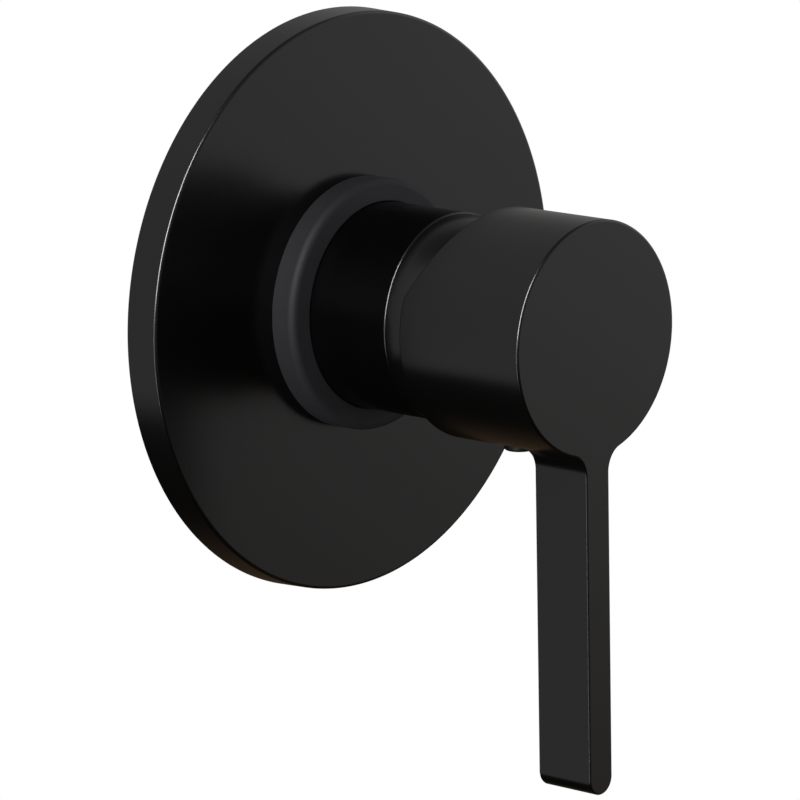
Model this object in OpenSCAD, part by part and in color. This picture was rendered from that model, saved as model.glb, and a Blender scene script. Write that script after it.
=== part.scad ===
// Concealed single-lever shower mixer: round cover plate, sleeve, domed cap and
// lever head, with the cartridge and the valve body that they cover.
// Each piece is drawn standing on the wall: its z is the distance out from the
// wall, its y is up the wall. out() then turns it so that the front is -Y and up is +Z.

/* [Cover plate] */
// Diameter of the cover plate at the wall
plate_d = 120; // [108:1:150]
// Distance from the wall to the face of the plate
plate_h = 7.4; // [6.6:0.1:9]
// Thickness of the plate's face and rim
plate_wall = 1.6; // [1:0.1:2]
// Radius of the plate's front edge
plate_edge_r = 0.7; // [0.3:0.1:0.9]
// How far the rim leans in from the wall to the face
plate_draft = 0.3; // [0:0.1:0.8]
// Width of the foam seal behind the plate
seal_w = 7; // [4:0.5:9]
// Gap between the foam seal and the inside of the rim
seal_gap = 1.2; // [0.5:0.1:3]

/* [Rubber collar] */
// Width of the collar's face, from the sleeve outwards
collar_w = 4.7; // [3.8:0.1:7]
// How far the collar's face stands out from the plate
collar_proud = 5.6; // [4:0.1:8]
// How much the collar's face rises from its rim to the sleeve
collar_crown = 0.7; // [0:0.1:1.2]
// Radius of the collar's front edge
collar_edge_r = 1.7; // [0.8:0.1:2]
// Thickness of the collar's neck in the hole of the plate
collar_neck = 1.7; // [1.2:0.1:2.2]
// Width of the lip that holds the collar behind the plate
collar_lip = 1; // [0.5:0.1:1.5]
// Thickness of that lip
collar_lip_t = 1.2; // [0.8:0.1:2]

/* [Sleeve] */
// Gap between the barrel and the sleeve
sleeve_gap = 0.2; // [0.15:0.05:0.4]
// Wall of the sleeve
sleeve_wall = 0.8; // [0.6:0.1:1]
// Distance from the wall to the sleeve's front end
sleeve_front = 34; // [32:0.5:42]
// Radius of the sleeve's front edge
sleeve_edge_r = 0.4; // [0.2:0.1:0.6]
// Thickness of the sealing rings inside the sleeve
sleeve_ring_t = 1.8; // [1.5:0.1:2]
// Distance from the wall to the first sealing ring
sleeve_ring_at = 7; // [5.5:0.5:9]
// Distance between the two sealing rings
sleeve_ring_pitch = 9; // [5:0.5:12]

/* [Domed cap] */
// How much smaller than the sleeve the dome is, on radius
dome_step = 0.25; // [0.15:0.05:0.5]
// Height of the dome beyond the sleeve
dome_rise = 10.6; // [9:0.1:11.5]
// Thickness of the dome's front
dome_wall = 2; // [1.4:0.1:2.4]
// Hole in the dome that the spindle swings in
dome_hole_d = 29; // [28:0.2:31]

/* [Lever head] */
// Wall of the head round its bore
head_wall = 2.4; // [1.8:0.1:4]
// Distance from the sleeve's end to the rear edge of the head
head_offset = 6.1; // [5.5:0.1:8]
// Length of the head from its rear edge to its face
head_len = 31.1; // [29:0.5:38]
// Gap between the dome and the bore of the head
head_gap = 0.45; // [0.35:0.05:0.7]
// Thickness of the head's face
head_face = 4; // [2.5:0.5:6]
// Radius of the head's front edge
head_edge_r = 0.5; // [0.2:0.1:1]
// Height above the axis where the slanted relief of the rear edge starts
relief_y = 7.9; // [5:0.1:10]
// Angle of the relief
relief_angle = 24; // [20:1:30]
// Diameter of the boss round the spindle
boss_d = 16; // [14:0.5:16.5]
// Gap between the dome's front and the boss
boss_gap = 2.6; // [2:0.1:4]
// Width of the web between the boss and the wall of the head
web_w = 9; // [8:0.5:12]

/* [Lever blade] */
// Width of the blade, seen from the front
blade_w = 6.9; // [6:0.1:9]
// Depth of the blade, seen from the side
blade_depth = 13.6; // [10:0.1:15]
// Distance from the axis to the end of the blade
blade_reach = 93.7; // [70:1:120]
// Radius of the fillets between blade and head, seen from the front
blade_fillet_r = 5; // [3:0.5:8]
// Radius of the fillet behind the blade's root
blade_root_r = 1.6; // [1:0.1:2.2]
// Chamfer along the blade's edges
blade_edge = 0.4; // [0.2:0.1:0.6]

/* [Grub screw and plug] */
// Thread diameter of the grub screw
grub_d = 5; // [4:0.5:5.5]
// Length of the grub screw
grub_len = 6; // [4:0.5:8]
// Hexagon socket of the grub screw, across its flats
grub_key = 2.5; // [2:0.5:2.5]
// Distance from the boss's rear end to the screw
screw_inset = 3.5; // [3.2:0.1:5]
// Diameter of the screw plug
plug_d = 6.4; // [5.6:0.1:7]
// Depth of the plug in the head
plug_depth = 2.6; // [1.8:0.1:3]
// How far the plug stands out
plug_proud = 1.25; // [0.5:0.05:2]
// Radius of the plug's outer edge
plug_edge_r = 0.5; // [0.2:0.1:0.5]

/* [Cartridge] */
// Outer diameter of the cartridge housing
cart_d = 35; // [34:0.1:35.4]
// Wall of the housing round the discs
cart_wall = 2; // [1.6:0.1:2.4]
// How much narrower than the housing its neck is, on radius
cart_neck_step = 2.1; // [1.8:0.1:2.5]
// How far the neck reaches beyond the pivot
cart_neck_rise = 2.6; // [2:0.1:3]
// Distance from the pivot back to the housing's outer shoulder
cart_shoulder = 6; // [5.5:0.1:6.5]
// Thickness of that shoulder
cart_shoulder_t = 2.1; // [1.8:0.1:2.4]
// Height of the cartridge's base
base_h = 5; // [4.6:0.1:5.4]
// Height of the base's flange
base_flange_h = 3; // [2.4:0.1:3.2]
// Thickness of the fixed ceramic disc
fixed_disc_t = 3.6; // [3.2:0.1:4]
// Gap between the fixed disc and the housing
fixed_disc_gap = 0.5; // [0.3:0.1:1]
// Thickness of the moving ceramic disc
moving_disc_t = 3; // [2.8:0.1:3.4]
// Least gap between the moving disc and the housing
moving_disc_gap = 0.9; // [0.7:0.1:1.5]
// Distance from the axis to the middle of each inlet port
port_at = 8.5; // [8.3:0.1:9]
// Radial width of the inlet ports in the fixed disc
port_w = 3; // [2:0.1:3.2]
// Angle between each inlet port and straight down
port_angle = 51; // [48:1:56]
// Angle that each inlet port spans
port_span = 40; // [30:1:42]
// Distance from the axis to the middle of the outlet port
outlet_at = 6.2; // [6:0.1:6.8]
// Diameter of the outlet port
outlet_d = 6.4; // [5.6:0.1:6.6]
// Diameter of the inlet holes through the base
inlet_d = 4.8; // [4:0.1:5]
// Thickness of the sealing rings of the ports
port_ring_t = 1.6; // [1.4:0.1:1.7]
// Radius of the mixing hollow in the moving disc
hollow_r = 5.8; // [5.6:0.1:6]
// Depth of that hollow
hollow_depth = 1.7; // [1.2:0.1:2]
// How far the hollow's lobe lies towards the outlet
lobe_at = 4.5; // [4:0.1:4.8]
// Radius of that lobe
lobe_r = 4.5; // [4:0.1:4.8]
// Thickness of the disc carrier's plate
carrier_t = 2; // [1.6:0.1:2.2]
// Width of the carrier's boss between the guide's rails
carrier_boss_w = 14; // [12:0.1:14.4]
// Length of that boss
carrier_boss_l = 10; // [8:0.5:12]
// How far the boss reaches past the middle of the spindle's ball
carrier_rim = 2.2; // [1.8:0.1:2.4]

/* [Spindle] */
// Width of the square spindle
spindle_w = 8; // [7:0.5:8]
// Length of the spindle beyond the pivot
spindle_len = 24; // [21:0.5:25]
// Diameter of the spindle's lower arm
arm_d = 5; // [4:0.5:5]
// Diameter of the ball at the arm's end
ball_d = 6; // [5.6:0.1:6.2]
// Diameter of the pivot pin
pin_d = 3; // [2.5:0.5:3.5]
// Wall of the housing's neck round the guide
neck_wall = 3.15; // [3:0.05:3.5]
// Thickness of the guide's flange in the housing
guide_flange_t = 3.3; // [3:0.1:5]
// How far the guide stands out of the neck
guide_rise = 2.6; // [2.3:0.1:3]
// Length of the guide's rails
rail_l = 19; // [16:0.5:20]
// Width of each rail
rail_w = 3.6; // [3:0.1:4]
// Thickness of the sealing ring round the guide's neck
guide_ring_t = 1.6; // [1.4:0.1:1.8]
// How far the lever lifts
lift_max = 25; // [20:1:26]
// How far the lever turns to each side
turn_max = 50; // [40:1:55]

/* [Cartridge nut] */
// How much wider than the cartridge the nut's thread is, on radius
nut_step = 1; // [0.8:0.1:1.2]
// Height of the nut
nut_h = 9; // [8:0.1:9.6]
// Number of slots in the nut's end for its key
nut_slots = 6; // [4:1:8]

/* [Valve body] */
// Wall of the barrel round the nut's thread
barrel_wall = 1.75; // [1.6:0.05:3]
// How far the barrel reaches behind the wall
barrel_back = 27; // [26:1:40]
// Diameter of the fixing flange on the wall
flange_d = 76; // [72:1:84]
// Thickness of the fixing flange
flange_t = 3; // [2:0.1:3]
// Distance from the flange's edge to the middle of each wall screw
fixing_inset = 6; // [5:0.5:9]
// Diameter of the wall screw holes
fixing_hole_d = 5.2; // [4.5:0.1:6]
// Distance from the wall back to the middle of the pipe arms
pipe_back = 14; // [14:0.5:15]
// Diameter of the pipe arms
pipe_d = 23.6; // [23:0.2:25]
// Distance from the axis to the end of each inlet arm
inlet_reach = 29; // [28:1:45]
// Distance from the axis to the end of each outlet arm
outlet_reach = 32; // [30:1:45]
// Diameter of the half-inch pipe thread's bore
thread_bore_d = 18.64; // [18.4:0.02:19]
// Depth of the pipe thread
thread_depth = 11; // [9:0.5:12]
// Thickness of the washer under the blanking plug
washer_t = 1.5; // [1:0.1:3]
// Thickness of the blanking plug's head
blank_head = 3; // [2:0.1:4]
// Hexagon socket of the blanking plug, across its flats
blank_key = 10; // [8:1:12]

/* [Hidden] */
$fn = 96;
fit = 0.05; // running and threaded fits, on radius
loose = 0.3; // clearance of what swings or passes
eps = 0.5; // overrun of a cut
finish = "#2b2b2a";
rubber = "#303238";
brass = "#b8975a";
steel = "#b9bcc0";
ceramic = "#e9e7e0";
plastic = "#d8d6cc";

// From the cartridge outwards: its chamber and nut, the barrel, the sleeve and the plate's hole
chamber_r = cart_d / 2 + fit;
nut_r = cart_d / 2 + nut_step;
barrel_r = nut_r + fit + barrel_wall;
sleeve_in = barrel_r + sleeve_gap;
sleeve_r = sleeve_in + sleeve_wall;
plate_hole_r = sleeve_r + 2 * fit + collar_neck;
sleeve_back = flange_t + 0.1;
barrel_front = sleeve_front - 2;
ring_r = sleeve_in - fit - sleeve_ring_t / 2;

// The lever pivots on the centre of the dome's sphere, at the sleeve's end
pivot = sleeve_front;
dome_r = sleeve_r - dome_step;
dome_front = pivot + dome_rise;
head_bore_r = dome_r + head_gap;
head_r = head_bore_r + head_wall;
head_rear = sleeve_front + head_offset;
head_front = head_rear + head_len;
cavity_end = head_front - head_face;
boss_rear = dome_front + boss_gap;
screw_h = boss_rear + screw_inset;
spindle_top = pivot + spindle_len;
blade_rear = head_front - blade_depth;

// The cartridge's radii
cart_in = cart_d / 2 - cart_wall;
neck_r = cart_d / 2 - cart_neck_step;
guide_neck_r = neck_r - neck_wall - fit;
fixed_disc_r = cart_in - fixed_disc_gap;

// The stack in the cartridge, from the pivot back to the floor of its chamber
film = 0.05; // water film between the lapped discs
socket_floor = 1;
carrier_gap = 0.4;
neck_top = pivot + cart_neck_rise;
guide_top = neck_top + guide_rise;
shoulder = pivot - cart_shoulder;
nut_top = shoulder + nut_h;
ledge = shoulder - cart_shoulder_t;
guide_low = ledge - fit - guide_flange_t;
carrier_top = guide_low - carrier_gap;
ball_h = carrier_top - carrier_rim;
moving_top = ball_h - ball_d / 2 - loose - socket_floor;
moving_low = moving_top - moving_disc_t;
fixed_top = moving_low - film;
base_top = fixed_top - fixed_disc_t;
floor_h = base_top - base_h;
base_flange_top = floor_h + base_flange_h;
rail_low = moving_top + carrier_t + loose;

// The travel of the moving disc: it starts half of it above the axis
arm_len = pivot - ball_h;
travel = arm_len * sin(lift_max);
disc_y = travel / 2;
moving_disc_r = cart_in - disc_y - moving_disc_gap;
peg_x = 7; // the carrier's pegs in the moving disc
peg_r = 1.2;
peg_h = 1.2;
port_places = [[-port_at * sin(port_angle), -port_at * cos(port_angle), inlet_d / 2],
    [port_at * sin(port_angle), -port_at * cos(port_angle), inlet_d / 2],
    [0, outlet_at, outlet_d / 2]];
key_w = 3; // the keys of the base in the fixed disc
key_t = 1.5;
key_y = fixed_disc_r - key_t;
index_at = [11, 7.5]; // the base's two pegs in the chamber's floor
index_r = 1.5;
index_h = 2;

// The temperature stop
stop_half = 10; // half the angle of the guide's stop
stop_r = guide_neck_r + 1.4;
stop_low = neck_top + 0.1;
stop_h = 1.8;
limit_r = neck_r - 0.2;
limit_h = 2;
tab_w = 3;
tab_h = 1.2;

function arc(centre, r, from, to, steps = 8) =
    [for (i = [0:steps]) let (a = from + (to - from) * i / steps) centre + r * [cos(a), sin(a)]];

// Lays a piece drawn on the wall along the wall's normal
module out() rotate([90, 0, 0]) children();

// Extrudes an outline drawn in y and z across the piece, along x
module across(w) rotate([90, 0, 90]) linear_extrude(w, center = true) children();

module turned(points) rotate_extrude() polygon(points);

// A round ring seal, lying flat on the height z
module ring_seal(r, t, z) translate([0, 0, z]) rotate_extrude() translate([r, 0]) circle(d = t, $fn = 32);

module tube(r_out, r_in, low, high) translate([0, 0, low]) difference() {
    cylinder(r = r_out, h = high - low);
    translate([0, 0, -eps]) cylinder(r = r_in, h = high - low + 2 * eps);
}

// A sector of a ring, centred on the angle at
module sector(r_in, r_out, low, high, at, span)
    translate([0, 0, low]) rotate(at - span / 2) rotate_extrude(angle = span)
        translate([r_in, 0]) square([r_out - r_in, high - low]);

module wall_plate() color(finish) out() {
    rim = plate_d / 2;
    face = rim - plate_draft;
    r = plate_edge_r;
    turned(concat([[rim, 0]],
        arc([face - r, plate_h - r], r, 0, 90),
        [[plate_hole_r, plate_h], [plate_hole_r, plate_h - plate_wall]],
        arc([face - plate_wall - r, plate_h - plate_wall - r], r, 90, 0),
        [[rim - plate_wall, 0]]));
}

module plate_seal() color("#3a3a3a") out() {
    seal_r = plate_d / 2 - plate_draft - plate_wall - seal_gap;
    tube(seal_r, seal_r - seal_w, 0, plate_h - plate_wall);
}

module collar_ring() color(rubber) out() {
    inner = sleeve_r + fit;
    rim = sleeve_r + collar_w;
    neck = plate_hole_r - fit;
    lip = neck + collar_lip;
    back = plate_h - plate_wall;
    face = plate_h + collar_proud;
    r = collar_edge_r;
    turned(concat([[inner, back - collar_lip_t], [lip - 0.4, back - collar_lip_t],
        [lip, back - collar_lip_t + 0.4], [lip, back], [neck, back], [neck, plate_h],
        [rim, plate_h]],
        arc([rim - r, face - r], r, 0, 85),
        [[inner + 0.6, face + collar_crown], [inner, face + collar_crown - 0.5]]));
}

module sleeve() color(finish) out() {
    r = sleeve_edge_r;
    lead = 0.3;
    turned(concat([[sleeve_in + lead, sleeve_back], [sleeve_r, sleeve_back]],
        arc([sleeve_r - r, sleeve_front - r], r, 0, 90, 6),
        [[sleeve_in, sleeve_front], [sleeve_in, sleeve_back + lead]]));
}

module sleeve_rings() color("#222222") out()
    for (i = [0:1]) ring_seal(ring_r, sleeve_ring_t, sleeve_ring_at + i * sleeve_ring_pitch);

module dome_cap() color(finish) out() {
    thread = nut_r + fit;
    skirt = sleeve_in - fit;
    low = barrel_front + 0.4;
    cavity = thread - 1.2;
    turned(concat([[thread, low], [skirt, low], [skirt, pivot]],
        arc([0, pivot], dome_r, 0, asin(dome_rise / dome_r), 16),
        [[dome_hole_d / 2, dome_front], [dome_hole_d / 2, dome_front - dome_wall],
        [cavity, dome_front - dome_wall - 1], [cavity, nut_top + 0.8],
        [thread, nut_top + 0.2]]));
}

// The round head, its front edge rounded
module head_form() turned(concat([[0, head_rear], [head_r, head_rear]],
    arc([head_r - head_edge_r, head_front - head_edge_r], head_edge_r, 0, 90, 6),
    [[0, head_front]]));

// What the slanted relief takes off the upper rear edge, so that the head can tip back
module relief() {
    top = head_r + 1;
    across(2 * top) polygon([[relief_y, head_rear], [relief_y, head_rear - 1], [top, head_rear - 1],
        [top, head_rear + (top - relief_y) * tan(relief_angle)]]);
}

// The blade: straight sides, a round end seen from the front, and chamfered edges
module blade() {
    end = blade_w / 2 - blade_reach;
    half = blade_w / 2;
    e = blade_edge;
    flank = [[0, blade_rear], [half - e, blade_rear], [half, blade_rear + e],
        [half, head_front - e], [half - e, head_front], [0, head_front]];
    other_flank = [for (i = [4:-1:1]) [-flank[i][0], flank[i][1]]];
    translate([0, end, 0]) turned(flank);
    translate([0, 2 - head_r, 0]) rotate([90, 0, 0]) linear_extrude(2 - head_r - end)
        polygon(concat(flank, other_flank));
}

// The two hollow fillets between blade and head, seen from the front
module blade_fillets() {
    sink = 0.02; // how far the round of a fillet reaches into the head, so that it ends on it
    r = blade_fillet_r;
    x = blade_w / 2 + r;
    y = -sqrt(pow(head_r + r - sink, 2) - x * x);
    foot = (head_r - 0.6) / (head_r + r);
    translate([0, 0, blade_rear]) linear_extrude(blade_depth) difference() {
        polygon([[-x * foot, y * foot], [x * foot, y * foot], [x, y], [-x, y]]);
        for (side = [-1, 1]) translate([side * x, y]) circle(r = r);
    }
}

// The hollow fillet between the head and the rear face of the blade
module root_fillet() {
    r = blade_root_r;
    inside = 1.5 - head_r;
    across(blade_w) polygon(concat([[-head_r - r, blade_rear + 1], [inside, blade_rear + 1],
        [inside, blade_rear - r]],
        arc([-head_r - r, blade_rear - r], r, 0, 90)));
}

module lever_handle() color(finish) out() difference() {
    union() {
        difference() {
            head_form();
            relief();
            translate([0, 0, head_rear - eps]) cylinder(r = head_bore_r, h = cavity_end - head_rear + eps);
        }
        blade();
        blade_fillets();
        root_fillet();
        translate([0, 0, boss_rear]) cylinder(d = boss_d, h = cavity_end - boss_rear + eps);
        translate([-web_w / 2, -head_bore_r - eps, boss_rear])
            cube([web_w, head_bore_r + eps, cavity_end - boss_rear + eps]);
    }
    socket = spindle_w + 2 * fit;
    translate([-socket / 2, -socket / 2, boss_rear - eps])
        cube([socket, socket, spindle_top + 0.5 - boss_rear + eps]);
    translate([0, 0, screw_h]) rotate([90, 0, 0]) cylinder(r = grub_d / 2 + fit, h = head_r + eps);
    translate([0, plug_depth - head_r, screw_h]) rotate([90, 0, 0])
        cylinder(r = plug_d / 2 + fit, h = plug_depth + eps);
}

module grub_screw() color(steel) out() translate([0, -spindle_w / 2, screw_h]) rotate([90, 0, 0])
    difference() {
        turned([[0, 0], [grub_d / 4, 0], [grub_d / 2, grub_d / 4], [grub_d / 2, grub_len - 0.3],
            [grub_d / 2 - 0.3, grub_len], [0, grub_len]]);
        translate([0, 0, grub_len / 2]) cylinder(d = grub_key / cos(30), h = grub_len, $fn = 6);
    }

module screw_plug() color(finish) out()
    translate([0, plug_depth - head_r, screw_h]) rotate([90, 0, 0]) {
        r = plug_edge_r;
        top = plug_depth + plug_proud;
        turned(concat([[0, 0], [plug_d / 2, 0]], arc([plug_d / 2 - r, top - r], r, 0, 90, 6), [[0, top]]));
    }

// One arm of the body, along x from the barrel
module pipe_arm(reach) translate([0, 0, -pipe_back]) rotate([0, 90, 0]) turned([[0, 0],
    [pipe_d / 2, 0], [pipe_d / 2, reach - 0.8], [pipe_d / 2 - 0.8, reach], [0, reach]]);

module pipe_bore(reach) translate([reach - thread_depth, 0, -pipe_back]) rotate([0, 90, 0])
    cylinder(d = thread_bore_d, h = thread_depth + eps);

// The waterways from the inlet arms up to the chamber, and from it to the outlet arms
module waterways() {
    way_r = 4;
    inlet_back = pipe_back - 1.7;
    outlet_back = pipe_back + 5;
    rise = floor_h + eps;
    for (side = [-1, 1]) {
        x = port_places[0][0] * -side;
        y = port_places[0][1];
        translate([x, y, -inlet_back]) cylinder(d = inlet_d, h = inlet_back + rise);
        translate([x, y, -inlet_back]) rotate([0, 90 * side, 0])
            cylinder(r = way_r, h = inlet_reach - thread_depth - abs(x) + eps);
    }
    translate([0, outlet_at, -outlet_back]) cylinder(d = outlet_d, h = outlet_back + rise);
    translate([0, 0, -outlet_back]) rotate([90, 0, 0])
        cylinder(r = way_r, h = 2 * (outlet_reach - thread_depth + eps), center = true);
}

module mixer_body() color(brass) out() difference() {
    union() {
        turned([[0, -barrel_back], [barrel_r - 1, -barrel_back], [barrel_r, 1 - barrel_back],
            [barrel_r, 0], [flange_d / 2, 0], [flange_d / 2, flange_t], [barrel_r, flange_t],
            [barrel_r, barrel_front - 0.5], [barrel_r - 0.5, barrel_front], [0, barrel_front]]);
        for (a = [0, 180]) rotate(a) pipe_arm(inlet_reach);
        for (a = [90, 270]) rotate(a) pipe_arm(outlet_reach);
    }
    translate([0, 0, floor_h]) cylinder(r = chamber_r, h = barrel_front);
    translate([0, 0, shoulder - 0.1]) cylinder(r = nut_r + fit, h = barrel_front);
    for (i = [0:1]) {
        z = sleeve_ring_at + i * sleeve_ring_pitch;
        tube(barrel_r + 1, ring_r - sleeve_ring_t / 2 - fit, z - sleeve_ring_t / 2 - 0.1,
            z + sleeve_ring_t / 2 + 0.1);
    }
    for (side = [-1, 1]) translate([side * index_at[0], index_at[1], floor_h - index_h - 0.2])
        cylinder(r = index_r + fit, h = index_h + eps);
    for (a = [0, 180]) rotate(a) pipe_bore(inlet_reach);
    for (a = [90, 270]) rotate(a) pipe_bore(outlet_reach);
    waterways();
    for (a = [45:90:315]) rotate(a) translate([flange_d / 2 - fixing_inset, 0, -eps])
        cylinder(d = fixing_hole_d, h = flange_t + 2 * eps);
}

module cartridge_nut() color(brass) out() difference() {
    slot_w = 4;
    slot_depth = 2;
    tube(nut_r, neck_r + 0.1, shoulder, nut_top);
    for (i = [0:nut_slots - 1]) rotate(i * 360 / nut_slots + 90)
        translate([0, -slot_w / 2, nut_top - slot_depth]) cube([nut_r + eps, slot_w, slot_depth + eps]);
}

module cartridge_housing() color(plastic) out() difference() {
    bore = guide_neck_r + fit;
    turned([[cart_in, base_flange_top], [cart_d / 2, base_flange_top], [cart_d / 2, shoulder],
        [neck_r, shoulder], [neck_r, neck_top], [bore, neck_top], [bore, ledge], [cart_in, ledge]]);
    for (side = [-1, 1]) translate([side * limit_r, 0, neck_top - tab_h / 2 - 0.05])
        cube([2 * (limit_r - guide_neck_r - 0.6), tab_w + 2 * fit, tab_h + 0.1], center = true);
}

module cartridge_base() color(plastic) out() difference() {
    groove = port_ring_t + fit;
    union() {
        turned([[0, floor_h], [cart_d / 2, floor_h], [cart_d / 2, base_flange_top],
            [cart_in - fit, base_flange_top], [cart_in - fit, base_top], [0, base_top]]);
        for (side = [-1, 1]) {
            translate([side * index_at[0], index_at[1], floor_h - index_h])
                cylinder(r = index_r, h = index_h + eps);
            translate([-key_w / 2, side > 0 ? key_y + fit : -key_y - fit - key_t, base_top - eps])
                cube([key_w, key_t, fixed_disc_t / 2 + eps]);
        }
    }
    for (p = port_places) translate([p[0], p[1], 0]) {
        translate([0, 0, floor_h - eps]) cylinder(r = p[2], h = base_h + 2 * eps);
        ring_groove(p[2], floor_h - eps, floor_h + groove);
        ring_groove(p[2], base_top - groove, base_top + eps);
    }
}

module ring_groove(r, low, high) tube(r + port_ring_t + 0.3, r + 0.2, low, high);

module port_rings(z) for (p = port_places)
    translate([p[0], p[1], 0]) ring_seal(p[2] + 0.25 + port_ring_t / 2, port_ring_t, z);

module port_seals() color("#222222") out() port_rings(floor_h + port_ring_t / 2);

module disc_seals() color("#222222") out() port_rings(base_top - port_ring_t / 2);

module fixed_disc() color(ceramic) out() difference() {
    translate([0, 0, base_top]) cylinder(r = fixed_disc_r, h = fixed_disc_t);
    for (side = [-1, 1]) {
        sector(port_at - port_w / 2, port_at + port_w / 2, base_top - eps, fixed_top + eps,
            270 + side * port_angle, port_span);
        translate([-key_w / 2 - fit, side > 0 ? key_y : -key_y - 2 * key_t, base_top - eps])
            cube([key_w + 2 * fit, 2 * key_t, fixed_disc_t / 2 + 0.2 + eps]);
    }
    translate([0, outlet_at, base_top - eps]) cylinder(d = outlet_d, h = fixed_disc_t + 2 * eps);
}

module moving_disc() color(ceramic) out() translate([0, disc_y, 0]) difference() {
    translate([0, 0, moving_low]) cylinder(r = moving_disc_r, h = moving_disc_t);
    translate([0, 0, moving_low - eps]) cylinder(r = hollow_r, h = hollow_depth + eps);
    translate([0, lobe_at, moving_low - eps]) cylinder(r = lobe_r, h = hollow_depth + eps);
    for (side = [-1, 1]) translate([side * peg_x, 0, moving_top - peg_h - 0.1])
        cylinder(r = peg_r + fit, h = peg_h + eps);
}

module disc_carrier() color(plastic) out() difference() {
    union() {
        translate([0, disc_y, moving_top]) cylinder(r = moving_disc_r + 0.5, h = carrier_t);
        translate([-carrier_boss_w / 2, -carrier_boss_l / 2, moving_top])
            cube([carrier_boss_w, carrier_boss_l, carrier_top - moving_top]);
        for (side = [-1, 1]) translate([side * peg_x, disc_y, moving_top - peg_h])
            cylinder(r = peg_r, h = peg_h + eps);
    }
    translate([0, 0, moving_top + socket_floor]) cylinder(r = ball_d / 2 + 0.25, h = carrier_top);
}

// The way that the spindle swings in, drawn in y and z
module spindle_way() {
    half = spindle_w / 2 + loose;
    low = guide_low - eps;
    high = guide_top + eps;
    lean = tan(lift_max);
    swing = max(travel + ball_d / 2, (pivot - low) * lean + arm_d / 2 / cos(lift_max)) + loose;
    heel = spindle_w / 2 * cos(lift_max) + 3.4 * sin(lift_max) + loose;
    across(spindle_w + 2 * fit) polygon([[-swing, low], [half, low],
        [half, pivot - half * tan(lift_max / 2)],
        [half / cos(lift_max) + (high - pivot) * lean, high], [-half, high], [-half, pivot + 1],
        [-heel, pivot - 1]]);
}

module spindle_guide() color("#c9ccc4") out() difference() {
    groove_z = (ledge + pivot) / 2 - 1;
    rail_gap = carrier_boss_w / 2 + 0.1;
    union() {
        translate([0, 0, guide_low]) cylinder(r = cart_in - fit, h = ledge - fit - guide_low);
        translate([0, 0, guide_low]) cylinder(r = guide_neck_r, h = guide_top - guide_low);
        sector(0, stop_r, stop_low, stop_low + stop_h, 90, 2 * stop_half);
        for (side = [-1, 1])
            translate([side > 0 ? rail_gap : -rail_gap - rail_w, -rail_l / 2, rail_low])
                cube([rail_w, rail_l, guide_low - rail_low + eps]);
    }
    spindle_way();
    translate([0, 0, pivot]) rotate([0, 90, 0])
        cylinder(r = pin_d / 2 + 0.02, h = 2 * (guide_neck_r + eps), center = true);
    tube(guide_neck_r + 1, guide_neck_r - guide_ring_t - fit, groove_z - guide_ring_t / 2 - 0.1,
        groove_z + guide_ring_t / 2 + 0.1);
}

module spindle_ring() color("#222222") out()
    ring_seal(guide_neck_r - guide_ring_t / 2, guide_ring_t, (ledge + pivot) / 2 - 1);

module spindle() color(steel) out() difference() {
    foot = 3.4;
    half = spindle_w / 2;
    union() {
        translate([-half, -half, pivot - foot]) cube([spindle_w, spindle_w, foot + spindle_len - 1]);
        translate([1 - half, 1 - half, pivot]) cube([spindle_w - 2, spindle_w - 2, spindle_len]);
        translate([0, 0, ball_h]) cylinder(d = arm_d, h = pivot - ball_h);
        translate([0, 0, ball_h]) sphere(d = ball_d);
    }
    translate([0, 0, pivot]) rotate([0, 90, 0])
        cylinder(r = pin_d / 2 + fit, h = spindle_w + 2 * eps, center = true);
}

module pivot_pin() color(steel) out() translate([0, 0, pivot]) rotate([0, 90, 0])
    cylinder(d = pin_d, h = 2 * (guide_neck_r - 1), center = true);

module limit_ring() color("#b3402e") out() {
    inner = guide_neck_r + 0.1;
    difference() {
        tube(limit_r, inner, neck_top, neck_top + limit_h);
        sector(0, stop_r + 0.1, neck_top - eps, neck_top + limit_h + eps, 90,
            2 * (stop_half + turn_max + 2));
    }
    for (side = [-1, 1])
        translate([side > 0 ? guide_neck_r + 0.8 : -limit_r, -tab_w / 2, neck_top - tab_h])
            cube([limit_r - guide_neck_r - 0.8, tab_w, tab_h + eps]);
}

// The plug and its washer, in the lower outlet that a shower alone leaves unused
module blanking_plug() color(brass) out() translate([0, -outlet_reach, -pipe_back])
    rotate([90, 0, 0]) difference() {
        thread = thread_bore_d / 2 - fit;
        head = pipe_d / 2;
        top = washer_t + blank_head;
        turned([[0, 2 - thread_depth], [thread - 0.8, 2 - thread_depth], [thread, 2.8 - thread_depth],
            [thread, washer_t], [head, washer_t], [head, top - 0.6], [head - 0.6, top], [0, top]]);
        translate([0, 0, 5 - thread_depth])
            cylinder(d = blank_key / cos(30), h = thread_depth + top, $fn = 6);
    }

module plug_washer() color("#8a3b2e") out() translate([0, -outlet_reach, -pipe_back])
    rotate([90, 0, 0]) tube(pipe_d / 2 - 0.8, thread_bore_d / 2 + 0.3, 0, washer_t);

wall_plate();
plate_seal();
collar_ring();
sleeve();
sleeve_rings();
dome_cap();
lever_handle();
grub_screw();
screw_plug();
mixer_body();
cartridge_nut();
cartridge_housing();
cartridge_base();
port_seals();
disc_seals();
fixed_disc();
moving_disc();
disc_carrier();
spindle_guide();
spindle_ring();
spindle();
pivot_pin();
limit_ring();
blanking_plug();
plug_washer();
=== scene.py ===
import math

import bmesh
import bpy
from mathutils import Matrix, Vector


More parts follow.
